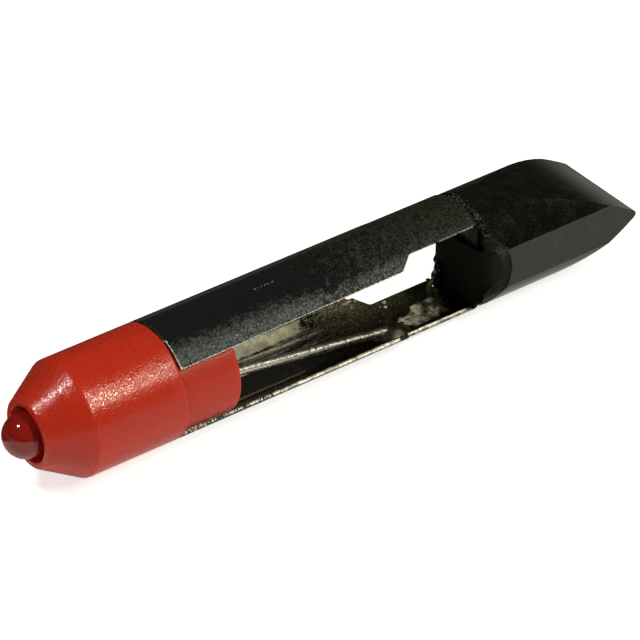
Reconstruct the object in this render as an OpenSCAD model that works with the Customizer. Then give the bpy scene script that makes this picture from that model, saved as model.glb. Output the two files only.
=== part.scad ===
// Slide-base indicator lamp with a 2 mm LED.
//
// The lamp lies along X: the LED looks towards -X and the wedge of the tail points to +X.
// The origin is on the axis, at the cap's shoulder where the contacts begin. Z is up, and the
// two contacts face +Z and -Z.

/* [Cap] */
// Outside diameter of the cap's barrel and of the sleeve that the two contacts form
barrel_d = 5.5; // [5:0.1:7]
// Length of the barrel, from the shoulder to the foot of the nose cone
barrel_len = 4.65; // [3.5:0.05:7]
// Length of the nose cone
nose_len = 1.9; // [1.4:0.05:2.4]
// Wall of the rim round the LED's recess, at the end of the nose cone
rim_wall = 0.27; // [0.25:0.01:0.6]
// Length of the reduced seat behind the shoulder, which the contacts lie on
seat_len = 2.95; // [2:0.05:4]
// Wall of the seat round the wire chamber
seat_wall = 0.5; // [0.4:0.05:0.8]
// Gap between the LED and the wall of its recess
recess_gap = 0.28; // [0.15:0.01:0.4]
// Depth of the recess round the LED
recess_depth = 0.65; // [0.3:0.05:0.9]
// Rounding of the edge between the cone and the barrel
cone_edge_r = 0.35; // [0.1:0.05:0.6]
// Rounding of the rim's outer edge
rim_edge_r = 0.16; // [0.05:0.01:0.18]
// Rounding of the recess's edge
recess_edge_r = 0.06; // [0.02:0.01:0.07]
// Rounding of the shoulder and of the seat's end
seat_edge_r = 0.12; // [0.05:0.01:0.2]

/* [LED] */
// Diameter of the LED's body and dome
led_d = 2.1; // [1.7:0.05:2.6]
// Length of the LED's straight body, from the flange to the foot of the dome
led_body_len = 2.4; // [2:0.1:3]
// How far the foot of the dome stands in front of the rim
led_stand = 0.06; // [0:0.02:0.3]
// How far the LED's flange stands out round its body
led_ledge = 0.2; // [0.1:0.05:0.3]
// Thickness of the LED's flange
led_flange_t = 0.5; // [0.3:0.05:0.7]
// Running gap between the LED and its bore
led_gap = 0.04; // [0.02:0.01:0.08]
// Distance between the LED's two leads
lead_pitch = 1.27; // [1:0.01:1.4]
// Straight length of the cathode lead before its bend
lead_straight = 2.2; // [1.4:0.1:2.6]
// Diameter of the leads and of the resistor's wires
wire_d = 0.45; // [0.35:0.01:0.55]

/* [Resistor] */
// Diameter of the series resistor's body
resistor_d = 1.6; // [1.4:0.1:1.7]
// Length of the series resistor's body
resistor_len = 3; // [2.6:0.1:3.2]
// Rounding of the resistor's ends
resistor_edge_r = 0.3; // [0.1:0.05:0.4]
// Bare wire between the resistor's body and the inside of the LED's flange
resistor_stand = 1.8; // [1.4:0.1:1.9]
// Length over which the anode lead and the resistor's wire lie side by side
splice_len = 0.8; // [0.5:0.1:0.9]
// Thickness of the resin plug that closes the wire chamber
plug_t = 1.15; // [0.8:0.05:1.3]
// How far the plug lies inside the seat's end
plug_inset = 0.2; // [0.1:0.05:0.4]

/* [Contacts] */
// Thickness of the contact strip
strip_t = 0.2; // [0.15:0.01:0.25]
// Bond line between a contact and the seat
bond_t = 0.02; // [0.01:0.01:0.05]
// Gap between the shoulder and the contacts' front ends
front_gap = 0.1; // [0.05:0.05:0.3]
// Distance from the shoulder to the step where a contact starts to narrow
step_x = 11.95; // [10:0.05:13]
// Distance from the shoulder to the contacts' rear ends
contact_end_x = 16.85; // [16:0.05:19]
// Half of the arc that a contact spans at its front end, in degrees
wide_half = 50.5; // [46:0.5:54]
// Half of the arc that a contact spans behind the step, in degrees
narrow_half = 33.5; // [28:0.5:38]
// Angle by which each long edge draws in towards the step, in degrees
edge_taper = 0.7; // [0:0.1:1]
// Length of the slope at the step
step_len = 0.9; // [0.6:0.05:1.3]
// Rounding of a contact's front corners
corner_r = 0.3; // [0.1:0.05:0.5]
// Width of the tab that is bent in at a contact's rear end
tab_w = 3; // [2.4:0.1:3.2]
// Inner radius of the tab's bend
tab_bend_r = 0.1; // [0.05:0.05:0.2]

/* [Tail] */
// How far the tail's round lies inside the outside of the sleeve
tail_inset = 0.05; // [0:0.01:0.2]
// Width of the tail across its two side flats
tail_flat_w = 5; // [4.6:0.05:6]
// Length of the tail from the contacts' rear ends to the edge of the wedge
tail_len = 8.3; // [7.5:0.05:10]
// Rounding of the wedge's edge
tip_r = 0.22; // [0.1:0.01:0.35]
// Radius of the curved upper and lower faces of the wedge
wedge_r = 15.5; // [13:0.5:18]
// Gap between the contacts' tabs and the tail's front face
tail_gap = 0.1; // [0.05:0.05:0.2]
// Radius of the round notch across the tail's front end
notch_r = 2; // [1.7:0.05:2.1]
// Depth of the notch
notch_depth = 0.95; // [0.7:0.05:1.2]
// Width of the tongue that the tabs hold between them
tongue_w = 2.2; // [1.8:0.1:2.6]
// Thickness of the tongue
tongue_t = 1.86; // [1.5:0.02:2.1]
// How far the tongue reaches in front of the tabs
tongue_reach = 0.05; // [0:0.05:0.2]

/* [Solder and resin] */
// Distance from the shoulder to the middle of the solder joints
solder_x = 12.5; // [11:0.05:13.5]
// Height of a solder joint above its contact
solder_h = 0.52; // [0.45:0.02:0.7]
// Radius of a solder joint's dome
solder_r = 1.1; // [0.9:0.05:1.4]
// Radius of the resin's outline in the tail's notch
resin_r = 1.91; // [1.7:0.01:2.1]
// Height of that outline's middle above the lamp's axis
resin_lift = 0.3; // [0:0.05:0.4]
// Rounding of the resin's rim at the near side flat
resin_rim_r = 0.3; // [0.1:0.05:0.5]
// How far the resin's rounded front stands in front of the contacts' rear ends
resin_reach = 0.5; // [0.35:0.05:0.8]
// Radius to which the resin's front is rounded from side to side
resin_front_r = 8; // [7:0.5:12]
// Radius of the flux bead at the foot of the resin
bead_r = 0.42; // [0.3:0.02:0.5]

/* [Hidden] */
$fn = 64;
// Straight pieces that each rounded corner of a turned outline is made of
corner_steps = 8;
// Length that a cutting solid runs past what it cuts
over = 1;
// Side of a cutting block, larger than any section it cuts
block = 12;

// Half of the arc of the blank that each contact is cut from, in degrees
blank_half = 80;

// Sleeve: the contacts are flush with the barrel, and the seat lies under them.
sleeve_r = barrel_d / 2;
sleeve_in_r = sleeve_r - strip_t;
seat_r = sleeve_in_r - bond_t;
chamber_r = seat_r - seat_wall;

// The LED's flange, and the recess and the rim round the LED
led_flange_d = led_d + 2 * led_ledge;
recess_d = led_d + 2 * recess_gap;
rim_d = recess_d + 2 * rim_wall;

// Stations along the lamp's axis, from the LED to the tail.
rim_x = -barrel_len - nose_len;
dome_x = rim_x - led_stand;
flange_x = dome_x + led_body_len;
led_base_x = flange_x + led_flange_t;
chamber_x = led_base_x + led_flange_t;
resistor_x = led_base_x + resistor_stand;
plug_x = seat_len - plug_inset - plug_t;
strip_x = front_gap;
narrow_x = step_x + step_len;
tail_x = contact_end_x + tail_gap;
notch_x = tail_x + notch_depth - notch_r;
tip_x = contact_end_x + tail_len;

// Wires: the cathode lead runs down to the lower contact, and the resistor's wire runs up to
// the upper one. Each ends a bond line clear of the strip that it is soldered to.
wire_r = wire_d / 2;
lead_y = lead_pitch / 2;
wire_end_r = sleeve_in_r - wire_r - bond_t;
wire_end_z = lie(wire_end_r, lead_y);
lead_bend_x = led_base_x + lead_straight;
wire_bend_r = 0.6;
bend_swell = 0.005;
bend_lap = 0.03;
cathode_end = [solder_x, -lead_y, -wire_end_z];
// The resistor lies under the anode lead, with a film of solder between the two wires.
splice_angle = -75;
splice_pitch = wire_d + bond_t;
resistor_y = lead_y + splice_pitch * cos(splice_angle);
resistor_z = splice_pitch * sin(splice_angle);
resistor_end = [solder_x, resistor_y, lie(wire_end_r, resistor_y)];
// Gap between the splice and the resistor's body, and depth of a wire in the body
splice_gap = 0.4;
wire_socket = 0.3;

// Tail, and its wedge: two arcs that meet at the tip, which a small circle rounds off.
tail_d = barrel_d - 2 * tail_inset;
wedge_drop = tail_d / 2;
tip_centre_x = tip_x - tip_r;
wedge_x = tip_centre_x - sqrt(pow(wedge_r - tip_r, 2) - pow(wedge_r - wedge_drop, 2));
tip_touch = (tip_centre_x - wedge_x) / (wedge_r - tip_r);

tab_z = tongue_t / 2 + bond_t;
tab_root_r = 0.2;
tongue_x = contact_end_x - strip_t - tongue_reach;
tongue_root = 0.5;

// Resin: it lies a little inside the near side flat and reaches past the middle. Its outline's
// middle stands this far in front of the contacts' rear ends, and its rounded front stands out
// most at resin_front_y.
resin_set = 0.85;
resin_inset = 0.08;
resin_x = contact_end_x - resin_set;
resin_near_y = -tail_flat_w / 2 + resin_inset;
resin_far_y = 1.2;
resin_front_y = 0.3;
// Lumps where the resin ran out, and the flux bead. The first lump lies beside the upper tab:
// its middle is given from where the resin's near side meets the tab. The second hangs down
// to the lower contact, at the bead, and both are given as over_lower takes them.
tab_lump_at = [0.2, 0.38, 0.45];
tab_lump_r = 0.36;
foot_lump_at = [-0.42, 0.95, 0.6];
foot_lump_r = 0.38;
resin_lumps = [
    [[contact_end_x, resin_near_y, tab_z] + tab_lump_at, tab_lump_r],
    [over_lower(foot_lump_at), foot_lump_r]
];
bead_at = [-0.62, 0.98, -0.06];
bead_centre = over_lower(bead_at);

// Point given by its distances from the lower contact's rear end, from the lamp's middle plane
// and from the inside of that contact
function over_lower(p) = [contact_end_x + p.x, p.y, p.z - lie(sleeve_in_r, p.y)];

// Height of a circle of radius r at the distance y from its upright middle line
function lie(r, y) = sqrt(r * r - y * y);

// Points of the arc that rounds corner p, between neighbours a and b, with radius r
function corner_arc(p, a, b, r) =
    let (
        u = (a - p) / norm(a - p),
        v = (b - p) / norm(b - p),
        half = acos(u * v) / 2,
        c = p + (u + v) / norm(u + v) * r / sin(half),
        s = p + u * r / tan(half) - c,
        e = p + v * r / tan(half) - c,
        turn = sign(s.x * e.y - s.y * e.x) * (180 - 2 * half),
        from = atan2(s.y, s.x)
    )
    [for (i = [0 : corner_steps]) c + r * [cos(from + turn * i / corner_steps),
                                           sin(from + turn * i / corner_steps)]];

// Outline of corners given as [x, y, rounding], where a rounding of 0 leaves the corner sharp
function rounded(corners) =
    let (n = len(corners), at = [for (c = corners) [c.x, c.y]])
    [for (i = [0 : n - 1], q = corners[i].z > 0
        ? corner_arc(at[i], at[(i + n - 1) % n], at[(i + 1) % n], corners[i].z)
        : [at[i]]) q];

// Solid turned about the lamp's axis, from an outline of [radius, position along X]
module turned(corners)
    rotate([0, 90, 0]) rotate_extrude() polygon(rounded(corners));

// Band of an outline of [radius, position along X], centred on +Z and 2 * half degrees wide
module band(corners, half)
    rotate([0, 90, 0])
        rotate_extrude(angle = 2 * half, start = 180 - half) polygon(rounded(corners));

// Round bar along X
module bar_x(x, length, r) translate([x, 0, 0]) rotate([0, 90, 0]) cylinder(r = r, h = length);

// Round bar along Y, centred on the XZ plane
module bar_y(x, z, r, width)
    translate([x, 0, z]) rotate([90, 0, 0]) cylinder(r = r, h = width, center = true);

// Wire in a plane of constant y: straight along X from start_x, one bend at bend_x, and then
// straight to the point "end". The bend is a hair thicker, as a bent wire is, and laps over
// both straights.
module bent_wire(start_x, level, bend_x, end) {
    rise = end.z > level ? 1 : -1;
    slope = atan(abs(end.z - level) / (end.x - bend_x));
    touch = wire_bend_r * tan(slope / 2);
    translate([0, end.y, level]) {
        bar_x(start_x, bend_x - touch + bend_lap - start_x, wire_r);
        translate([bend_x - touch, 0, rise * wire_bend_r]) rotate([90, 0, 0])
            rotate_extrude(angle = slope, start = rise > 0 ? 270 : 90 - slope)
                translate([wire_bend_r, 0]) circle(r = wire_r + bend_swell);
        translate([bend_x, 0, 0]) rotate([0, -rise * slope, 0])
            bar_x(touch - bend_lap,
                  norm([end.x - bend_x, end.z - level]) - touch + bend_lap, wire_r);
    }
}

// ---- Cap ----

// Moulded cap: a nose cone with a recessed bore for the LED, a barrel, and a reduced seat that
// is hollow for the wires
module cap_housing()
    color([0.72, 0.16, 0.12])
        turned([
            [recess_d / 2, rim_x, recess_edge_r],
            [rim_d / 2, rim_x, rim_edge_r],
            [sleeve_r, -barrel_len, cone_edge_r],
            [sleeve_r, 0, seat_edge_r],
            [seat_r, 0, 0],
            [seat_r, seat_len, seat_edge_r],
            [chamber_r, seat_len, seat_edge_r],
            [chamber_r, chamber_x, 0],
            [led_flange_d / 2 + led_gap, led_base_x, 0],
            [led_flange_d / 2 + led_gap, flange_x, 0],
            [led_d / 2 + led_gap, flange_x, 0],
            [led_d / 2 + led_gap, rim_x + recess_depth, 0]
        ]);

// Cast epoxy body of the LED, with its dome and the flange that stops against the bore's step
module led_lens()
    color([0.5, 0.1, 0.08]) {
        translate([dome_x, 0, 0]) sphere(r = led_d / 2);
        bar_x(dome_x, led_body_len, led_d / 2);
        bar_x(flange_x, led_flange_t, led_flange_d / 2);
    }

// Resin plug that closes the wire chamber, with the two wires cast in
module cap_resin()
    color([0.1, 0.09, 0.08])
        difference() {
            bar_x(plug_x, plug_t, chamber_r);
            cathode_lead();
            resistor_wires();
        }

// ---- Wires ----

// The LED's cathode lead, bent once and run down to the lower contact
module cathode_lead()
    color([0.75, 0.75, 0.72])
        bent_wire(led_base_x, 0, lead_bend_x, cathode_end);

// The LED's anode lead, cut short beside the resistor's wire
module anode_lead()
    color([0.75, 0.75, 0.72])
        translate([0, lead_y, 0]) bar_x(led_base_x, resistor_x - splice_gap - led_base_x, wire_r);

// Solder that joins the anode lead and the resistor's front wire
module splice_solder()
    color([0.7, 0.7, 0.7])
        difference() {
            translate([0, (lead_y + resistor_y) / 2, resistor_z / 2])
                bar_x(resistor_x - splice_gap - splice_len, splice_len, wire_d);
            anode_lead();
            resistor_wires();
        }

// Body of the series resistor
module resistor_body()
    color([0.75, 0.65, 0.45])
        difference() {
            translate([0, resistor_y, resistor_z])
                turned([
                    [0, resistor_x, 0],
                    [resistor_d / 2, resistor_x, resistor_edge_r],
                    [resistor_d / 2, resistor_x + resistor_len, resistor_edge_r],
                    [0, resistor_x + resistor_len, 0]
                ]);
            resistor_wires();
        }

// The resistor's two wires: the short front one, and the rear one to the upper contact
module resistor_wires() {
    rear_x = resistor_x + resistor_len;
    front_len = splice_len + splice_gap + wire_socket;
    color([0.75, 0.75, 0.72]) {
        translate([0, resistor_y, resistor_z])
            bar_x(resistor_x + wire_socket - front_len, front_len, wire_r);
        bent_wire(rear_x - wire_socket, resistor_z, rear_x + wire_bend_r, resistor_end);
    }
}

// ---- Contacts ----

// Places a cutter at one long edge of a contact, on the -Y side: its local X runs along the
// lamp, its local Y from the edge towards the middle, and its local Z straight outwards.
module at_edge(half) rotate([half, 0, 0]) children();

// Strip rolled to the sleeve's arc, narrowed behind the step, with its rear end bent in as a
// tab. Modelled as the upper one.
module contact() {
    bend_out_r = tab_bend_r + strip_t;
    bend_x = contact_end_x - bend_out_r;
    step_drop = sleeve_r * sin(wide_half - narrow_half);
    difference() {
        band([[sleeve_in_r, strip_x, 0], [sleeve_r, strip_x, 0],
              [sleeve_r, contact_end_x, bend_out_r],
              [tab_root_r, contact_end_x, 0], [tab_root_r, contact_end_x - strip_t, 0],
              [sleeve_in_r, contact_end_x - strip_t, tab_bend_r]], blank_half);
        for (side = [0, 1]) mirror([0, side, 0]) {
            at_edge(wide_half) {
                translate([strip_x, 0, 0]) rotate([0, 0, edge_taper])
                    translate([-over, -block, 0]) cube([bend_x + over, block, block]);
                difference() {
                    translate([strip_x - over, -over, 0])
                        cube([corner_r + over, corner_r + over, block]);
                    translate([strip_x + corner_r, corner_r, -over])
                        cylinder(r = corner_r, h = block + 2 * over);
                }
            }
            at_edge(narrow_half)
                linear_extrude(block)
                    polygon([[narrow_x, 0], [bend_x, 0], [bend_x, -block],
                             [narrow_x - step_len * block / step_drop, -block]]);
            translate([bend_x, -block - tab_w / 2, -block])
                cube([block, block, 2 * block]);
        }
        translate([bend_x, -block, tab_z - block]) cube([block, 2 * block, block]);
    }
}

module upper_contact() color([0.6, 0.61, 0.6]) contact();

module lower_contact() color([0.6, 0.61, 0.6]) mirror([0, 0, 1]) contact();

// Solder dome on the inside of a contact, over the end of a wire
module solder_dome(y, side)
    intersection() {
        bar_x(solder_x - block / 2, block, sleeve_in_r);
        rotate([side > 0 ? asin(-y / sleeve_in_r) : 180 - asin(-y / sleeve_in_r), 0, 0])
            translate([solder_x, 0, sleeve_in_r + solder_r - solder_h]) sphere(r = solder_r);
    }

module upper_solder()
    color([0.7, 0.7, 0.68])
        difference() {
            solder_dome(resistor_y, 1);
            resistor_wires();
        }

module lower_solder()
    color([0.7, 0.7, 0.68])
        difference() {
            solder_dome(-lead_y, -1);
            cathode_lead();
        }

// ---- Tail ----

// Moulded tail: a round bar with two side flats, drawn in to a wedge by two long arcs, and
// notched across its front end round a tongue
module tail_insulator()
    color([0.1, 0.1, 0.095]) {
        difference() {
            intersection() {
                bar_x(tail_x, tail_len + over, tail_d / 2);
                translate([tail_x, -tail_flat_w / 2, -tail_d])
                    cube([tip_centre_x + tip_touch * tip_r - tail_x, tail_flat_w, 2 * tail_d]);
                bar_y(wedge_x, wedge_drop - wedge_r, wedge_r, block);
                bar_y(wedge_x, wedge_r - wedge_drop, wedge_r, block);
            }
            bar_y(notch_x, 0, notch_r, block);
        }
        bar_y(tip_centre_x, 0, tip_r, tail_flat_w);
        translate([tongue_x, -tongue_w / 2, -tongue_t / 2])
            cube([tail_x + notch_depth + tongue_root - tongue_x, tongue_w, tongue_t]);
    }

// Resin that fills the tail's notch round the tongue: a round plug with a rounded near rim, and
// an apron that runs down in front of the tail to the lower contact. It stays behind the upper
// tab, so that tab shows.
module resin_fill() {
    width = resin_far_y - resin_near_y;
    intersection() {
        union() {
            translate([resin_x, resin_near_y, resin_lift]) rotate([-90, 0, 0])
                rotate_extrude()
                    polygon(rounded([[0, 0, 0], [resin_r, 0, resin_rim_r],
                                     [resin_r, width, 0], [0, width, 0]]));
            translate([tail_x - block, resin_near_y, -block])
                cube([block, width, block + tab_z]);
        }
        union() {
            translate([contact_end_x, -block, 0]) cube([block, 2 * block, block]);
            translate([contact_end_x - block, -block, tab_z - 2 * block])
                cube([2 * block, 2 * block, 2 * block]);
        }
        translate([contact_end_x - resin_reach + resin_front_r, resin_front_y, -block])
            cylinder(r = resin_front_r, h = 2 * block);
    }
}

// Black resin cast round the tongue and the tabs, run out in two lumps
module tail_resin()
    color([0.05, 0.05, 0.045])
        difference() {
            intersection() {
                union() {
                    resin_fill();
                    for (lump = resin_lumps) translate(lump[0]) sphere(r = lump[1]);
                }
                bar_x(solder_x, block, sleeve_in_r);
            }
            tail_insulator();
            upper_contact();
            lower_contact();
        }

// Bead of amber flux at the foot of the resin, on the lower contact
module flux_bead()
    color([0.55, 0.4, 0.1])
        difference() {
            intersection() {
                bar_x(solder_x, block, sleeve_in_r);
                translate(bead_centre) sphere(r = bead_r);
            }
            tail_resin();
            lower_contact();
        }

cap_housing();
led_lens();
cathode_lead();
anode_lead();
splice_solder();
resistor_body();
resistor_wires();
cap_resin();
upper_contact();
lower_contact();
upper_solder();
lower_solder();
tail_insulator();
tail_resin();
flux_bead();
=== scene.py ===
"""A slide-base indicator lamp: a red cap with a small LED, two nickel contact strips and a
black wedge tail, lying on a white table under a dark studio ceiling."""

import math
import random

import bmesh
import bpy
from mathutils import Matrix, Vector, noise


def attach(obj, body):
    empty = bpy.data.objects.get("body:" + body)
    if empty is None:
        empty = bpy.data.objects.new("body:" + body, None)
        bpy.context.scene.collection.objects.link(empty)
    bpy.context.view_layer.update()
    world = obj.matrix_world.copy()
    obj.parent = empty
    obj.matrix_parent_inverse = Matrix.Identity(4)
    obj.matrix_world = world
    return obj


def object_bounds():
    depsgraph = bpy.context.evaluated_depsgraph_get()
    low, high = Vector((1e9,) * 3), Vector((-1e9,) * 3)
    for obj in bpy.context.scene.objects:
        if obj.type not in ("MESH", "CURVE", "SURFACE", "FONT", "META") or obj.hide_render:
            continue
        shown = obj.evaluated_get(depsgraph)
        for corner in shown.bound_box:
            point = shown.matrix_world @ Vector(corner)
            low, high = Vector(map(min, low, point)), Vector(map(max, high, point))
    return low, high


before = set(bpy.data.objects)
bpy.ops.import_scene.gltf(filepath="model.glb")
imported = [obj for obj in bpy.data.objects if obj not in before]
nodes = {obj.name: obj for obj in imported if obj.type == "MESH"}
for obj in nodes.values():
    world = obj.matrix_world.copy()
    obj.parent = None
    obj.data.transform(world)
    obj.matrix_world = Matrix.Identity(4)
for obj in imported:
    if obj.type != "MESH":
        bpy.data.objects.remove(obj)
cad_box = [list(corner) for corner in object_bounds()]
scene = bpy.context.scene
scene.view_settings.view_transform = "Standard"
MM = 0.001

# ---- Camera ----
# A long lens looks down on the lamp from the LED's end and from its near side, so that the
# lamp runs up across the picture from its red nose to its black tail.
CAMERA_AZIMUTH, CAMERA_ELEVATION, CAMERA_ROLL = 234.107, 34.834, -0.717
CAMERA_DISTANCE = 190 * MM
CAMERA_LENS, CAMERA_SENSOR = 239.87, 36
aim = Vector((8.989, 0, -0.57)) * MM
azimuth, elevation = math.radians(CAMERA_AZIMUTH), math.radians(CAMERA_ELEVATION)
backwards = Vector(
    (
        math.cos(elevation) * math.cos(azimuth),
        math.cos(elevation) * math.sin(azimuth),
        math.sin(elevation),
    )
)
level = Vector((0, 0, 1)).cross(backwards).normalized()
upright = backwards.cross(level)
roll = math.radians(CAMERA_ROLL)
camera_right = level * math.cos(roll) + upright * math.sin(roll)
camera_up = upright * math.cos(roll) - level * math.sin(roll)
camera_data = bpy.data.cameras.new("camera")
camera_data.lens = CAMERA_LENS
camera_data.sensor_width = CAMERA_SENSOR
camera_data.clip_start, camera_data.clip_end = 0.005, 20
camera = bpy.data.objects.new("camera", camera_data)
scene.collection.objects.link(camera)
turn = Matrix((camera_right, camera_up, backwards)).transposed().to_4x4()
camera.matrix_world = Matrix.Translation(aim + backwards * CAMERA_DISTANCE) @ turn
scene.camera = camera


# ---- Table, ceiling and lamps ----
# The lamp lies on a white table in a dark room. Two small bright lamps light it, and the
# white table lights it from below; the plated strips mirror the dark room.
def new_material(name):
    """A new material, with its node tree and its shader."""
    material = bpy.data.materials.new(name)
    material.use_nodes = True
    tree = material.node_tree
    shader = tree.nodes["Principled BSDF"]
    return material, tree, shader


def combine(tree, operation, first, second):
    """One operation on two factors, either of which may be a plain number."""
    node = tree.nodes.new("ShaderNodeMath")
    node.operation = operation
    for socket, value in zip(node.inputs, (first, second)):
        if isinstance(value, (int, float)):
            socket.default_value = value
        else:
            tree.links.new(value, socket)
    return node.outputs["Value"]


def flat_shape(name, points):
    """A flat mesh of one face through the points."""
    mesh = bpy.data.meshes.new(name)
    mesh.from_pydata(points, [], [range(len(points))])
    shape = bpy.data.objects.new(name, mesh)
    scene.collection.objects.link(shape)
    return shape


TABLE_HALF = 1.5
table_z = cad_box[0][2]
table = flat_shape(
    "table",
    [
        (x * TABLE_HALF, y * TABLE_HALF, table_z)
        for x, y in ((-1, -1), (1, -1), (1, 1), (-1, 1))
    ],
)
table_white, tree, shader = new_material("table_white")
shader.inputs["Base Color"].default_value = (0.8, 0.8, 0.8, 1)
shader.inputs["Roughness"].default_value = 0.9
shader.inputs["Specular IOR Level"].default_value = 0
glow = tree.nodes.new("ShaderNodeEmission")
glow.inputs["Color"].default_value = (1, 1, 1, 1)
TABLE_GLOW, GLOW_WHERE_MIRRORED, GLOW_WHERE_SEEN = 0.12, 0.1, 0.52
paths = tree.nodes.new("ShaderNodeLightPath")
seen = combine(
    tree, "MAXIMUM", paths.outputs["Is Camera Ray"], paths.outputs["Is Glossy Ray"]
)
seen = combine(tree, "MAXIMUM", seen, paths.outputs["Is Transmission Ray"])
strength = combine(
    tree, "ADD", combine(tree, "MULTIPLY", seen, GLOW_WHERE_MIRRORED), TABLE_GLOW
)
whiter = combine(tree, "MULTIPLY", paths.outputs["Is Camera Ray"], GLOW_WHERE_SEEN)
tree.links.new(combine(tree, "ADD", whiter, strength), glow.inputs["Strength"])
both = tree.nodes.new("ShaderNodeAddShader")
tree.links.new(shader.outputs["BSDF"], both.inputs[0])
tree.links.new(glow.outputs["Emission"], both.inputs[1])
tree.links.new(both.outputs[0], tree.nodes["Material Output"].inputs["Surface"])
table.data.materials.append(table_white)

# White all round for the camera, and a dark ceiling over the lamp that only reflections and
# the light see.
world = bpy.data.worlds.new("world")
scene.world = world
world.use_nodes = True
world.node_tree.nodes["Background"].inputs["Color"].default_value = (1, 1, 1, 1)
world.node_tree.nodes["Background"].inputs["Strength"].default_value = 1.0
CEILING_RADIUS = 1.2
ceiling_mesh = bpy.data.meshes.new("ceiling")
dome = bmesh.new()
bmesh.ops.create_uvsphere(dome, u_segments=48, v_segments=24, radius=CEILING_RADIUS)
bmesh.ops.delete(
    dome, geom=[v for v in dome.verts if v.co.z < -0.01 * CEILING_RADIUS], context="VERTS"
)
dome.to_mesh(ceiling_mesh)
dome.free()
ceiling = bpy.data.objects.new("ceiling", ceiling_mesh)
scene.collection.objects.link(ceiling)
ceiling.location.z = table_z
ceiling_dark, tree, shader = new_material("ceiling_dark")
shader.inputs["Base Color"].default_value = (0.02, 0.02, 0.018, 1)
shader.inputs["Roughness"].default_value = 1
shader.inputs["Emission Color"].default_value = (1, 1, 0.93, 1)
shader.inputs["Emission Strength"].default_value = 0.012
ceiling.data.materials.append(ceiling_dark)
ceiling.visible_camera = False
ceiling.visible_transmission = False

# A card lies behind the lamp, where only reflections see it. It is dark behind the strips, so
# that their far edges stand out from the white, and fades from pale to dark behind the tail.
CARD_LEFT, CARD_FRONT, CARD_END = -60 * MM, 4 * MM, 800 * MM
CARD_LIFT = 0.02 * MM
card = flat_shape(
    "dark_card",
    [
        (x, y, table_z + CARD_LIFT)
        for x, y in (
            (CARD_LEFT, CARD_FRONT),
            (CARD_END, CARD_FRONT),
            (CARD_END, CARD_END),
            (CARD_LEFT, CARD_END),
        )
    ],
)
card_grey, tree, shader = new_material("card_grey")
shader.inputs["Base Color"].default_value = (0.02, 0.02, 0.018, 1)
shader.inputs["Roughness"].default_value = 1
shader.inputs["Emission Color"].default_value = (1, 1, 0.95, 1)
place = tree.nodes.new("ShaderNodeTexCoord")
split = tree.nodes.new("ShaderNodeSeparateXYZ")
span = tree.nodes.new("ShaderNodeMapRange")
FADE_REACH = 200 * MM
span.inputs["From Max"].default_value = FADE_REACH
fade = tree.nodes.new("ShaderNodeFloatCurve")
CARD_DARK = 0.012
fade_steps = (
    (0, CARD_DARK),
    (0.145, CARD_DARK),
    (0.172, 0.42),
    (0.205, 0.2),
    (0.3, 0.08),
    (0.5, 0.03),
    (1, CARD_DARK),
)
points = fade.mapping.curves[0].points
while len(points) < len(fade_steps):
    points.new(0.5, 0.5)
for point, (where, height) in zip(points, fade_steps):
    point.location = (where, height)
    point.handle_type = "VECTOR"
fade.mapping.update()
tree.links.new(place.outputs["Object"], split.inputs["Vector"])
tree.links.new(split.outputs["X"], span.inputs["Value"])
tree.links.new(span.outputs["Result"], fade.inputs["Value"])
beyond_tail = tree.nodes.new("ShaderNodeMapRange")
beyond_tail.inputs["From Min"].default_value = 20 * MM
beyond_tail.inputs["From Max"].default_value = 25 * MM
tree.links.new(
    combine(tree, "SUBTRACT", split.outputs["X"], split.outputs["Y"]), beyond_tail.inputs["Value"]
)
faded = combine(tree, "MULTIPLY", fade.outputs["Value"], beyond_tail.outputs["Result"])
tree.links.new(combine(tree, "MAXIMUM", faded, CARD_DARK), shader.inputs["Emission Strength"])
card.data.materials.append(card_grey)
card.visible_camera = False
card.visible_transmission = False
card.visible_shadow = False
card.visible_diffuse = False


LAMP_DISTANCE = 0.5


def add_lamp(name, direction, size, power, colour, turned=0):
    """A studio lamp that shines on the middle of the lamp from a direction. It is round, or has
    a width and a height, and can be turned about its own direction."""
    light = bpy.data.lights.new(name, "AREA")
    light.shape = "RECTANGLE" if isinstance(size, tuple) else "DISK"
    light.size, light.size_y = size if isinstance(size, tuple) else (size, size)
    light.energy = power
    light.color = colour
    lamp = bpy.data.objects.new(name, light)
    scene.collection.objects.link(lamp)
    towards = Vector(direction).normalized()
    lamp.location = aim + towards * LAMP_DISTANCE
    across = (Vector((1, 0, 0)) - towards * towards.x).normalized()
    across.rotate(Matrix.Rotation(math.radians(turned), 3, towards))
    lamp.rotation_euler = (
        Matrix((across, towards.cross(across), towards)).transposed().to_euler()
    )


add_lamp("right_lamp", (0.37, -0.597, 0.712), (0.05, 0.24), 1.45, (1, 0.94, 0.74), 3.6)
add_lamp("top_lamp", (-0.47, 0.2, 0.86), 0.09, 0.95, (1, 0.98, 0.92))


# ---- Cap ----
# A one-piece moulding of red plastic with a fine satin grain. It has a cone nose, a barrel
# and a thinner seat that the two contacts lie on.
def speckle(tree, scale, detail=2.0, roughness=0.5):
    """Fine noise over the object's own place; the scale is in features to the metre."""
    place = tree.nodes.new("ShaderNodeTexCoord")
    grains = tree.nodes.new("ShaderNodeTexNoise")
    grains.inputs["Scale"].default_value = scale
    grains.inputs["Detail"].default_value = detail
    grains.inputs["Roughness"].default_value = roughness
    tree.links.new(place.outputs["Object"], grains.inputs["Vector"])
    return grains.outputs["Fac"]


def ramp(tree, source, stops):
    """Colours or greys laid over a factor, as (position, colour) stops."""
    node = tree.nodes.new("ShaderNodeValToRGB")
    elements = node.color_ramp.elements
    while len(elements) < len(stops):
        elements.new(0.5)
    for element, (position, colour) in zip(elements, stops):
        element.position = position
        element.color = (*colour, 1) if isinstance(colour, tuple) else (*(colour,) * 3, 1)
    tree.links.new(source, node.inputs["Fac"])
    return node.outputs["Color"]


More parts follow.
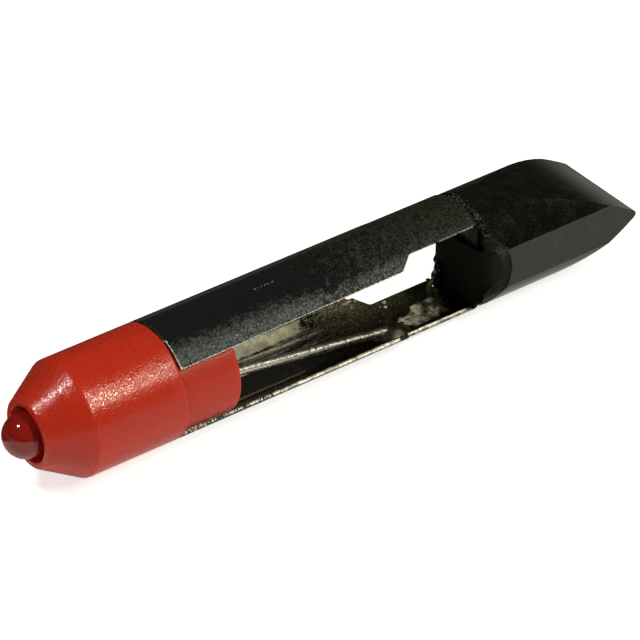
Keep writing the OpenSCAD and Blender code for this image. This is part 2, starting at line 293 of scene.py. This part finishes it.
def raise_surface(tree, shader, source, distance):
    """Bump from a height source, with the height of its white in metres."""
    bump = tree.nodes.new("ShaderNodeBump")
    bump.inputs["Distance"].default_value = distance
    tree.links.new(source, bump.inputs["Height"])
    tree.links.new(bump.outputs["Normal"], shader.inputs["Normal"])


def position_along(tree, axis, start, end):
    """0 to 1 from one place to another along one of the object's own axes, in metres."""
    place = tree.nodes.new("ShaderNodeTexCoord")
    split = tree.nodes.new("ShaderNodeSeparateXYZ")
    span = tree.nodes.new("ShaderNodeMapRange")
    span.inputs["From Min"].default_value = start
    span.inputs["From Max"].default_value = end
    tree.links.new(place.outputs["Object"], split.inputs["Vector"])
    tree.links.new(split.outputs[axis], span.inputs["Value"])
    return span.outputs["Result"]


def multiply(tree, first, second):
    """One colour laid over another as a tint."""
    node = tree.nodes.new("ShaderNodeVectorMath")
    node.operation = "MULTIPLY"
    tree.links.new(first, node.inputs[0])
    tree.links.new(second, node.inputs[1])
    return node.outputs["Vector"]


def tint(tree, shader, source, stops):
    """The surface's own colour, laid over a factor."""
    tree.links.new(ramp(tree, source, stops), shader.inputs["Base Color"])


def finish_node(name, material):
    """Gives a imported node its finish."""
    piece = nodes[name]
    piece.data.materials.clear()
    piece.data.materials.append(material)


cap_plastic, tree, shader = new_material("cap_plastic")
shader.inputs["IOR"].default_value = 1.43
shader.inputs["Subsurface Weight"].default_value = 0.6
shader.inputs["Subsurface Radius"].default_value = (1, 0.12, 0.06)
shader.inputs["Subsurface Scale"].default_value = 1.5 * MM
grain = speckle(tree, 10500, 1)
seat_dull = ramp(tree, position_along(tree, "X", -0.6 * MM, 0.1 * MM), [(0, 0.0), (1, 0.25)])
satin = combine(tree, "ADD", ramp(tree, grain, [(0.46, 0.34), (0.51, 0.05)]), seat_dull)
tree.links.new(satin, shader.inputs["Roughness"])
raise_surface(tree, shader, ramp(tree, grain, [(0.4, 0.0), (0.6, 1.0)]), 0.0038 * MM)
tint(
    tree,
    shader,
    speckle(tree, 900, 3),
    [(0.3, (0.57, 0.033, 0.013)), (0.7, (0.6, 0.037, 0.015))],
)
finish_node("cap_housing", cap_plastic)

# ---- LED ----
# A 2 mm LED cast in deep red epoxy, pushed into the nose from behind until its flange stops.
led_epoxy, tree, shader = new_material("led_epoxy")
shader.inputs["Roughness"].default_value = 0.07
shader.inputs["IOR"].default_value = 1.55
tint(
    tree,
    shader,
    speckle(tree, 500, 1),
    [(0.3, (0.24, 0.011, 0.008)), (0.7, (0.3, 0.014, 0.01))],
)
finish_node("led_lens", led_epoxy)


# ---- Contacts ----
# Two strips of nickel-plated brass, rolled to the sleeve's arc and bent in at the rear. They
# mirror the room. Sliding in and out of sockets has left fine marks hazing their fronts, and
# there their colour is painted a dark bluish grey, a painted shade that dims their reflections.
STRIP_LENGTH = 17 * MM
SLEEVE_RADIUS, INSIDE_RADIUS = 2.75, 2.55


def outer_face(tree):
    """1 on the outside of a strip and 0 on its inside, by the distance from the lamp's axis."""
    place = tree.nodes.new("ShaderNodeTexCoord")
    across = tree.nodes.new("ShaderNodeVectorMath")
    across.operation = "MULTIPLY"
    across.inputs[1].default_value = (0, 1, 1)
    distance = tree.nodes.new("ShaderNodeVectorMath")
    distance.operation = "LENGTH"
    span = tree.nodes.new("ShaderNodeMapRange")
    span.inputs["From Min"].default_value = 2.6 * MM
    span.inputs["From Max"].default_value = 2.7 * MM
    tree.links.new(place.outputs["Object"], across.inputs[0])
    tree.links.new(across.outputs["Vector"], distance.inputs[0])
    tree.links.new(distance.outputs["Value"], span.inputs["Value"])
    return span.outputs["Result"]


def mix_colours(tree, factor):
    """A mix of two colours by a factor: its two colour sockets and what comes out of it."""
    mix = tree.nodes.new("ShaderNodeMix")
    mix.data_type = "RGBA"
    tree.links.new(factor, mix.inputs["Factor"])
    first, second = [socket for socket in mix.inputs if socket.type == "RGBA"]
    return first, second, [socket for socket in mix.outputs if socket.type == "RGBA"][0]


def plated(name, wear, film, dull, painted_reflection_reach):
    """Nickel plate, bright where sockets have rubbed it, with fine marks hazing its near side.
    Where it is hazy its colour is painted a dark bluish grey, a painted shade that dims its
    reflections, lighter towards the crown and darkest towards the near edge. Wear, film and dull
    run along the strip: how hazy its side is, the tint of the film on it and how much of it is
    dulled and so painted dark. The last argument, bare, is how far from the front the far half's
    inside carries a pale rough patch, a painted reflection."""
    plate, tree, shader = new_material(name)
    shader.inputs["Metallic"].default_value = 1
    along = position_along(tree, "X", 0, STRIP_LENGTH)
    to_near = position_along(tree, "Y", 0, -SLEEVE_RADIUS * MM)
    outside = outer_face(tree)
    side = combine(tree, "MULTIPLY", ramp(tree, to_near, [(0.24, 0.0), (0.56, 1.0)]), outside)
    rubbed = combine(tree, "MULTIPLY", side, ramp(tree, along, wear))
    hazy = combine(tree, "MAXIMUM", rubbed, ramp(tree, along, dull))
    # A pale rough patch on the front of the far half's inside is a painted reflection: its colour
    # stands in for the table's light mirrored between the two strips.
    far_off = position_along(tree, "Y", 1.38 * MM, 1.52 * MM)
    painted_reflection_mask = combine(
        tree,
        "MULTIPLY",
        combine(tree, "MULTIPLY", far_off, ramp(tree, along, painted_reflection_reach)),
        combine(tree, "SUBTRACT", 1, outside),
    )
    hazy = combine(tree, "MAXIMUM", hazy, painted_reflection_mask)
    cloud = combine(tree, "SUBTRACT", speckle(tree, 2600, 3, 0.65), 0.5)
    grit = combine(tree, "SUBTRACT", speckle(tree, 17000, 2, 0.6), 0.5)
    marks = combine(tree, "MULTIPLY", hazy, 1.7)
    for roughening, share in ((cloud, 2.6), (grit, 2.4)):
        marks = combine(tree, "ADD", marks, combine(tree, "MULTIPLY", roughening, share))
    haze_and_painted_shade = ramp(tree, marks, [(0.72, 0.0), (0.95, 1.0)])
    tree.links.new(ramp(tree, haze_and_painted_shade, [(0.25, 0.05), (1, 0.5)]), shader.inputs["Roughness"])
    mottle_and_painted_light = ramp(tree, speckle(tree, 9000, 3, 0.7), [(0.4, 0.28), (0.64, 1.35)])
    # The hazy metal's colour is painted shade: a dark bluish grey that dims its reflections,
    # lighter towards the crown and darker towards the near edge.
    shade = ramp(
        tree,
        to_near,
        [
            (0.05, (0.2, 0.2, 0.175)),
            (0.45, (0.062, 0.067, 0.074)),
            (0.75, (0.05, 0.056, 0.063)),
        ],
    )
    bright, painted_dark_haze_colour, plate_colour = mix_colours(
        tree, ramp(tree, haze_and_painted_shade, [(0, 0.0), (0.25, 1.0)])
    )
    bright.default_value = (0.6, 0.6, 0.58, 1)
    tree.links.new(multiply(tree, shade, mottle_and_painted_light), painted_dark_haze_colour)
    clean, painted_reflection_colour, all_over = mix_colours(tree, painted_reflection_mask)
    tree.links.new(plate_colour, clean)
    # The pale colour of that patch is a painted reflection.
    painted_reflection_stops = [(0.36, (0.4, 0.4, 0.36)), (0.62, (0.78, 0.78, 0.73))]
    tree.links.new(ramp(tree, speckle(tree, 1600, 4, 0.7), painted_reflection_stops), painted_reflection_colour)
    tree.links.new(multiply(tree, all_over, ramp(tree, along, film)), shader.inputs["Base Color"])
    raise_surface(tree, shader, speckle(tree, 900, 1), 0.004 * MM)
    return plate


finish_node(
    "upper_contact",
    plated(
        "upper_plate",
        [(0, 0.9), (0.38, 0.75), (0.5, 0.38), (0.62, 0.12), (0.8, 0.2), (1, 0.3)],
        [
            (0, (1, 1, 1)),
            (0.6, (1, 1, 1)),
            (0.75, (0.95, 0.95, 0.85)),
            (0.94, (0.9, 0.9, 0.76)),
            (0.975, (0.95, 0.95, 0.85)),
        ],
        [(0, 0.0), (0.36, 0.1), (0.5, 0.42), (0.72, 0.7), (1, 0.9)],
        [(0, 0.0), (1, 0.0)],
    ),
)
finish_node(
    "lower_contact",
    plated(
        "lower_plate",
        [(0, 0.9), (1, 0.7)],
        [
            (0, (0.97, 0.95, 0.86)),
            (0.45, (0.9, 0.87, 0.74)),
            (0.6, (0.45, 0.44, 0.33)),
            (0.8, (0.3, 0.3, 0.22)),
            (1, (0.3, 0.3, 0.22)),
        ],
        [(0, 0.0), (0.3, 0.15), (0.45, 0.2), (0.62, 0.6), (0.75, 0.85), (1, 0.9)],
        # Painted reflection: a pale rough patch over the front half of the far inside.
        [(0.5, 1.0), (0.58, 0.0)],
    ),
)


def on_strip(x, angle, radius, side=1):
    """A place on a contact: x and radius in mm, and the angle from its middle line to the near
    side in degrees. Side is 1 on the upper one and -1 on the lower one."""
    turned = math.radians(angle)
    return Vector((x, -radius * math.sin(turned), side * radius * math.cos(turned))) * MM


def add_mesh(name, builder, material):
    """Makes a smooth piece of the lamp from a bmesh."""
    mesh = bpy.data.meshes.new(name)
    bmesh.ops.recalc_face_normals(builder, faces=builder.faces)
    builder.to_mesh(mesh)
    builder.free()
    for face in mesh.polygons:
        face.use_smooth = True
    mesh.materials.append(material)
    piece = bpy.data.objects.new(name, mesh)
    scene.collection.objects.link(piece)
    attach(piece, "root")


# The torn band's section, as radius and how far it stands off, and its pitch along the edge
EDGE_SECTION = ((2.7475, -0.3), (2.735, 0.8), (2.66, 1), (2.57, 0.8), (INSIDE_RADIUS, -0.3))
TEAR_PITCH, TEAR_UNEVENNESS = 0.06, 0.45
DEGREES_PER_MM = 21


def sheared_edge(name, side, path, outward, material):
    """A torn band over the cut face of a strip. The path is of (x, angle), and outward is the
    way that it stands off the cut, in mm and degrees."""
    draw = random.Random(name)
    edge = bmesh.new()
    rows = []
    for (x0, a0), (x1, a1) in zip(path, path[1:]):
        span = math.hypot(x1 - x0, (a1 - a0) / DEGREES_PER_MM)
        steps = max(2, round(span / TEAR_PITCH))
        for step in range(steps):
            part = step / steps
            x, angle = x0 + (x1 - x0) * part, a0 + (a1 - a0) * part
            tear = 1 + TEAR_UNEVENNESS * draw.uniform(-1, 1)
            row = []
            for radius, off in EDGE_SECTION:
                stand = off * tear
                place = on_strip(
                    x + outward[0] * stand, angle + outward[1] * stand, radius, side
                )
                row.append(edge.verts.new(place))
            rows.append(row)
    for one, other in zip(rows, rows[1:]):
        for i in range(len(EDGE_SECTION) - 1):
            edge.faces.new((one[i], one[i + 1], other[i + 1], other[i]))
    add_mesh(name, edge, material)


def torn(name, dark, pale, roughness):
    """Bare torn metal along a sheared edge."""
    metal, tree, shader = new_material(name)
    shader.inputs["Metallic"].default_value = 1
    tint(tree, shader, speckle(tree, 3000, 3), [(0.38, dark), (0.6, pale)])
    shader.inputs["Roughness"].default_value = roughness
    raise_surface(tree, shader, speckle(tree, 9000, 2), 0.02 * MM)
    return metal


# The upper strip's torn edges are painted near black, a painted shade that keeps the lamp's
# reflection off them; the lower strip's are torn metal of its own colour.
EDGE_METAL = {
    "upper": torn("torn_painted_shade", (0.05, 0.05, 0.045), (0.2, 0.2, 0.18), 0.6),
    "lower": torn("torn_metal", (0.16, 0.16, 0.14), (0.5, 0.49, 0.45), 0.45),
}
# The strips' edges in mm along and degrees round
LONG_EDGE = [(0.2, 50.1), (12.0, 47.4), (12.75, 34.2), (13.0, 33.6), (16.5, 33.6)]
FRONT_EDGE = [(0.1, -48.5), (0.1, 49.5)]
FAR_BURR = [(6.5, -48.5), (8, -48.3), (11.9, -47.3)]
REAR_BURR = [(14.5, 33.6), (16.45, 33.6)]
NEAR_BURR = [(0.2, 50.1), (11.9, 47.42)]
for side, which in ((1, "upper"), (-1, "lower")):
    for hand, place in ((1, "near"), (-1, "far")):
        sheared_edge(
            which + "_" + place + "_edge",
            side,
            [(x, hand * angle) for x, angle in LONG_EDGE],
            (0, hand * 0.28),
            EDGE_METAL[which],
        )
    sheared_edge(which + "_front_edge", side, FRONT_EDGE, (-0.015, 0), EDGE_METAL[which])
for name, side, path, stand in (
    ("lower_far_burr", -1, FAR_BURR, -2.8),
    ("upper_rear_burr", 1, REAR_BURR, 0.9),
    ("upper_near_burr", 1, NEAR_BURR, 0.55),
):
    sheared_edge(name, side, path, (0, stand), EDGE_METAL["lower"])
bright_burr, tree, shader = new_material("bright_burr")
shader.inputs["Metallic"].default_value = 1
tint(
    tree,
    shader,
    speckle(tree, 9000, 2),
    [(0.4, (0.5, 0.49, 0.45)), (0.6, (0.85, 0.84, 0.8))],
)
shader.inputs["Roughness"].default_value = 0.5


def lumps(name, places, material, unevenness=0.35, level=2):
    """One piece of many small uneven lumps, each given as its middle and its half sizes in mm."""
    draw = random.Random(name)
    crowd = bmesh.new()
    for middle, half in places:
        turn = Matrix.Rotation(
            draw.uniform(0, math.tau), 3, Vector((draw.gauss(0, 1), draw.gauss(0, 1), 1))
        )
        away = Vector((draw.uniform(-40, 40), draw.uniform(-40, 40), draw.uniform(-40, 40)))
        for vert in bmesh.ops.create_icosphere(crowd, subdivisions=level, radius=1)["verts"]:
            swell = 1 + unevenness * noise.noise(vert.co * 1.6 + away)
            round_point = turn @ (vert.co * swell)
            vert.co = middle + Vector([a * b for a, b in zip(round_point, half)]) * MM
    add_mesh(name, crowd, material)


# Burrs stand along the front edge and the long near edge of the upper strip, and a row of
# rubbed marks lies on its crown.
SKIN_RADIUS = 2.742
FRONT_BURRS, NEAR_BURRS = 48, 150
burr_places = [
    (on_strip(0.1, 20.5, 2.735), (0.06, 0.06, 0.06)),
    (on_strip(0.03, 19, 2.73), (0.03, 0.03, 0.03)),
    (on_strip(0.12, 49.4, 2.735), (0.065, 0.07, 0.07)),
    (on_strip(2.95, 50.6, 2.73), (0.04, 0.035, 0.035)),
    (on_strip(3.45, 47.2, 2.735), (0.02, 0.02, 0.02)),
    (on_strip(8.22, -39.6, 2.54, -1), (0.035, 0.035, 0.03)),
    (on_strip(8.4, -29.5, 2.545, -1), (0.03, 0.03, 0.02)),
    (on_strip(6.9, -25, 2.545, -1), (0.02, 0.02, 0.02)),
]
draw = random.Random("rubbed marks")
for x in (5.35, 5.5, 5.68, 5.86, 5.93, 6.05, 6.26, 6.33):
    size = draw.uniform(0.018, 0.028)
    burr_places.append(
        (on_strip(x, draw.uniform(4.1, 5.2), SKIN_RADIUS), (size * 1.8, size * 1.5, 0.012))
    )
for count in range(FRONT_BURRS):
    size = draw.uniform(0.022, 0.04)
    angle = 21 + 28 * (count + draw.random()) / FRONT_BURRS
    burr_places.append((on_strip(0.1, angle, 2.745), (size, size, size)))
for count in range(NEAR_BURRS):
    x = 0.25 + 11.5 * (count + draw.random()) / NEAR_BURRS
    edge_angle = 50.25 - 0.229 * x
    size = draw.uniform(0.016, 0.028)
    burr_places.append((on_strip(x, edge_angle, SKIN_RADIUS), (size * 2.6, size, size)))
lumps("burrs", burr_places, bright_burr)

# ---- Wires and solder ----
# Tinned leads come out of the cap. One is soldered to the inside of each contact, under a
# flat blob of solder that has gone grey-brown with flux.
tinned_wire, tree, shader = new_material("tinned_wire")
shader.inputs["Metallic"].default_value = 1
shader.inputs["Base Color"].default_value = (0.7, 0.69, 0.64, 1)
tree.links.new(
    ramp(tree, speckle(tree, 6000, 2), [(0.35, 0.22), (0.7, 0.42)]), shader.inputs["Roughness"]
)
raise_surface(tree, shader, speckle(tree, 5000, 2), 0.012 * MM)
for name in ("cathode_lead", "anode_lead", "resistor_wires"):
    finish_node(name, tinned_wire)
solder, tree, shader = new_material("solder")
shader.inputs["Metallic"].default_value = 1
tint(
    tree,
    shader,
    speckle(tree, 2600, 3),
    [(0.35, (0.1, 0.09, 0.07)), (0.65, (0.32, 0.3, 0.26))],
)
shader.inputs["Roughness"].default_value = 0.42
raise_surface(tree, shader, speckle(tree, 3200, 2), 0.03 * MM)
for name in ("upper_solder", "lower_solder", "splice_solder"):
    finish_node(name, solder)
resistor_coat, tree, shader = new_material("resistor_coat")
tint(
    tree,
    shader,
    speckle(tree, 1800, 2),
    [(0.35, (0.55, 0.43, 0.26)), (0.65, (0.62, 0.5, 0.32))],
)
shader.inputs["Roughness"].default_value = 0.4
finish_node("resistor_body", resistor_coat)

# ---- Tail ----
# A moulding of black plastic, satin on its round and its side flats and glossier on the two
# arcs of the wedge, with dust in its pores.
tail_plastic, tree, shader = new_material("tail_plastic")
shader.inputs["IOR"].default_value = 1.47
dust = combine(
    tree, "ADD", speckle(tree, 15000, 2), combine(tree, "MULTIPLY", speckle(tree, 1500, 3), 0.6)
)
tint(tree, shader, dust, [(0.8, (0.0052, 0.0052, 0.0046)), (1.0, (0.02, 0.02, 0.018))])
satin = ramp(tree, position_along(tree, "X", 17 * MM, 25 * MM), [(0.4, 0.0), (1, 0.16)])
worn = combine(tree, "ADD", ramp(tree, dust, [(0.84, 0.07), (1, 0.12)]), satin)
tree.links.new(worn, shader.inputs["Roughness"])
finish_node("tail_insulator", tail_plastic)

# ---- Resin ----
# Black casting resin that holds the tongue and the tabs together. It has run out in lumps, and it
# has crept up the edge of the tail's notch in a dull meniscus whose grey, lighter towards the
# top, is a painted reflection.
black_resin, tree, shader = new_material("black_resin")
tint(
    tree,
    shader,
    speckle(tree, 2200, 3),
    [(0.3, (0.0125, 0.0125, 0.0105)), (0.75, (0.019, 0.019, 0.0155))],
)
shader.inputs["Roughness"].default_value = 0.8
shader.inputs["Specular IOR Level"].default_value = 0.02
raise_surface(tree, shader, speckle(tree, 1500, 2), 0.03 * MM)
finish_node("tail_resin", black_resin)
finish_node("cap_resin", black_resin)
flux, tree, shader = new_material("flux")
tint(
    tree,
    shader,
    speckle(tree, 3000, 2),
    [(0.35, (0.015, 0.012, 0.003)), (0.65, (0.13, 0.1, 0.03))],
)
shader.inputs["Roughness"].default_value = 0.12
finish_node("flux_bead", flux)

# The meniscus's grey, lighter towards the top, is a painted reflection; under it the resin is
# black.
meniscus_painted_reflection, tree, shader = new_material("meniscus_painted_reflection")
painted_reflection_upward = ramp(tree, position_along(tree, "Z", -0.2 * MM, 0.9 * MM), [(0, 0.0), (1, 0.5)])
mottle_and_painted_light = combine(tree, "ADD", speckle(tree, 4200, 3, 0.65), painted_reflection_upward)
tint(
    tree,
    shader,
    mottle_and_painted_light,
    [(0.62, (0.003, 0.003, 0.003)), (0.95, (0.014, 0.014, 0.013)), (1, (0.03, 0.03, 0.028))],
)
shader.inputs["Roughness"].default_value = 0.5
shader.inputs["Specular IOR Level"].default_value = 0.15
raise_surface(tree, shader, speckle(tree, 5000, 3), 0.06 * MM)
NOTCH_MIDDLE, NOTCH_RADIUS = (15.9, 0.0), 2.0
FILL_MIDDLE, FILL_RADIUS = (16.0, 0.3), 1.3
CREEP_COLUMNS, CREEP_STEPS = 120, 18
RIM_STAND, CREEP_LIMIT = 2.485, 2.69
creep = bmesh.new()
rows = []
for column in range(CREEP_COLUMNS + 1):
    turned = math.radians(-74 + 132 * column / CREEP_COLUMNS)
    ragged = 0.05 + 0.05 * noise.noise(Vector((column * 0.21, 0, 0)))
    inner = [FILL_MIDDLE[i] + FILL_RADIUS * f(turned) for i, f in enumerate((math.cos, math.sin))]
    outer = [
        NOTCH_MIDDLE[i] + (NOTCH_RADIUS + ragged) * f(turned)
        for i, f in enumerate((math.cos, math.sin))
    ]
    row = []
    for step in range(CREEP_STEPS + 1):
        part = step / CREEP_STEPS
        x, z = (inner[i] + (outer[i] - inner[i]) * part for i in (0, 1))
        wave = 0.02 * noise.noise(Vector((x, z, 0)) * 3.1)
        stand = 2.405 + 0.03 * math.sin(math.pi * min(part * 1.4, 1)) + 0.095 * part**3
        stand += wave * (1 - part)
        if step == CREEP_STEPS:
            stand = RIM_STAND
        stand = min(stand, math.sqrt(CREEP_LIMIT**2 - z * z))
        row.append(creep.verts.new(Vector((x, -stand, z)) * MM))
    rows.append(row)
for one, other in zip(rows, rows[1:]):
    for i in range(CREEP_STEPS):
        creep.faces.new((one[i], one[i + 1], other[i + 1], other[i]))
add_mesh("resin_meniscus", creep, meniscus_painted_reflection)
wet_resin, tree, shader = new_material("wet_resin")
tint(
    tree,
    shader,
    speckle(tree, 3000, 2),
    [(0.35, (0.003, 0.003, 0.002)), (0.7, (0.012, 0.01, 0.005))],
)
shader.inputs["Roughness"].default_value = 0.08
lumps(
    "resin_drip",
    [
        (Vector((16.25, 0.8, -1.25)) * MM, (0.2, 0.22, 0.42)),
        (Vector((16.2, 0.78, -1.85)) * MM, (0.24, 0.26, 0.45)),
    ],
    wet_resin,
    0.2,
    4,
)
lumps(
    "resin_lobe",
    [(Vector((16.79, -2.35, 1.54)) * MM, (0.36, 0.25, 0.36))],
    black_resin,
    0.15,
    4,
)

# ---- Glue and flux ----
# A ragged crust of glue and flux is left along the rear end of the upper strip, and flux has
# dried in stains and whitish scale on the inside of the lower one.
crust_glue, tree, shader = new_material("crust_glue")
tint(
    tree,
    shader,
    speckle(tree, 3500, 3),
    [
        (0.36, (0.006, 0.006, 0.005)),
        (0.56, (0.028, 0.023, 0.01)),
        (0.72, (0.15, 0.13, 0.075)),
    ],
)
shader.inputs["Roughness"].default_value = 0.3
raise_surface(tree, shader, speckle(tree, 9000, 2), 0.03 * MM)
CRUST_LUMPS, RIM_CRUMBS, FRONT_CRUMBS = 150, 60, 34
draw = random.Random("crust")
crust = []
for count in range(CRUST_LUMPS):
    angle = -14 + 66 * (count + draw.random()) / CRUST_LUMPS
    size = draw.uniform(0.02, 0.065)
    out = min(2.745 / max(math.cos(math.radians(angle)), 0.5), 2.79) - size * 0.75
    crust.append(
        (
            on_strip(draw.gauss(16.86, 0.09), angle, out - draw.uniform(0, 0.03)),
            (size * draw.uniform(0.8, 1.5), size, size * 0.7),
        )
    )
lumps("glue_crust", crust, crust_glue, 0.5, 1)
rim_crumbs = []
for count in range(RIM_CRUMBS):
    turned = math.radians(-8 + 92 * (count + draw.random()) / RIM_CRUMBS)
    size = draw.uniform(0.012, 0.035)
    reach = NOTCH_RADIUS + 0.04 + draw.gauss(0, 0.02)
    x, z = NOTCH_MIDDLE[0] + reach * math.cos(turned), reach * math.sin(turned)
    rim_crumbs.append((Vector((x, -2.5, z)) * MM, (size, size * 0.5, size)))
lumps("rim_crumbs", rim_crumbs, crust_glue, 0.5, 1)
front_crumbs = []
for _ in range(FRONT_CRUMBS):
    x = draw.uniform(-0.1, 1.3)
    size = draw.uniform(0.02, 0.06)
    angle = 50.8 + draw.uniform(-0.8, 1.2)
    place = on_strip(x, angle, draw.uniform(2.6, 2.74), -1)
    front_crumbs.append((place, (size * 1.3, size, size)))
scale_white, tree, shader = new_material("scale_white")
tint(
    tree,
    shader,
    speckle(tree, 2600, 3, 0.6),
    [
        (0.36, (0.018, 0.018, 0.012)),
        (0.5, (0.16, 0.16, 0.13)),
        (0.62, (0.55, 0.55, 0.48)),
    ],
)
shader.inputs["Roughness"].default_value = 0.55
raise_surface(tree, shader, speckle(tree, 4200, 3), 0.06 * MM)
crumb_pale, tree, shader = new_material("crumb_pale")
tint(tree, shader, speckle(tree, 5000, 2), [(0.36, (0.3, 0.27, 0.2)), (0.6, (0.8, 0.77, 0.68))])
shader.inputs["Roughness"].default_value = 0.45
raise_surface(tree, shader, speckle(tree, 9000, 2), 0.03 * MM)
lumps("front_crumbs", front_crumbs, crumb_pale, 0.5, 1)
step_crumbs = []
for x, angle, size in (
    (11.72, -44.5, 0.17),
    (11.95, -45, 0.1),
    (12.2, -43, 0.07),
    (13.5, -30, 0.13),
    (13.42, -24.5, 0.1),
    (12.7, -11.5, 0.05),
    (11.9, -38, 0.05),
    (13.2, -27, 0.05),
):
    step_crumbs.append((on_strip(x, angle, 2.54, -1), (size, size * 0.7, size * 0.6)))
crumb_amber, tree, shader = new_material("crumb_amber")
tint(tree, shader, speckle(tree, 4500, 2), [(0.36, (0.16, 0.11, 0.03)), (0.6, (0.85, 0.74, 0.4))])
shader.inputs["Roughness"].default_value = 0.25
raise_surface(tree, shader, speckle(tree, 6000, 2), 0.03 * MM)
lumps("step_crumbs", step_crumbs, crumb_amber, 0.6, 2)


LAYER_STEPS, LAYER_HALF = 70, 1.2
SUNK = 0.004


def dried_layer(name, middle, reach, slope, thickness, material):
    """A thin uneven layer on the inside of the lower strip. Middle and reach are in mm along
    the strip and degrees round it, and slope slants it."""
    layer = bmesh.new()
    grid = []
    for i in range(LAYER_STEPS + 1):
        row = []
        for j in range(LAYER_STEPS + 1):
            u, w = (2 * LAYER_HALF * k / LAYER_STEPS - LAYER_HALF for k in (i, j))
            edge = noise.fractal(Vector((u * 2.2, w * 2.2, middle[0])), 0.6, 2.0, 4)
            fall = 1 - (u * u + w * w) ** 0.5 + 0.35 * edge
            grain = noise.fractal(Vector((u * 9, w * 9, middle[1])), 0.7, 2.0, 4)
            height = -SUNK
            if fall > 0:
                height = min(fall * 3, 1) * thickness * (0.7 + 0.5 * grain)
            angle = middle[1] + reach[1] * w
            x = middle[0] + reach[0] * u + slope * w
            place = on_strip(x, angle, INSIDE_RADIUS - height, -1)
            row.append((layer.verts.new(place), fall))
        grid.append(row)
    for one, other in zip(grid, grid[1:]):
        for j in range(LAYER_STEPS):
            corners = (one[j], one[j + 1], other[j + 1], other[j])
            if max(fall for _, fall in corners) > 0:
                layer.faces.new([vert for vert, _ in corners])
    bmesh.ops.delete(
        layer, geom=[vert for vert in layer.verts if not vert.link_faces], context="VERTS"
    )
    add_mesh(name, layer, material)


dried_layer("white_scale", (14.85, 2), (1.3, 17), -0.35, 0.03, scale_white)
dried_layer("front_stain", (13.1, -17), (0.45, 14), -0.2, 0.012, crust_glue)
dried_layer("rear_stain", (16.1, -20), (0.4, 13), -0.1, 0.03, crust_glue)
dried_layer("step_stain", (11.9, -40), (0.3, 8), 0, 0.03, crust_glue)
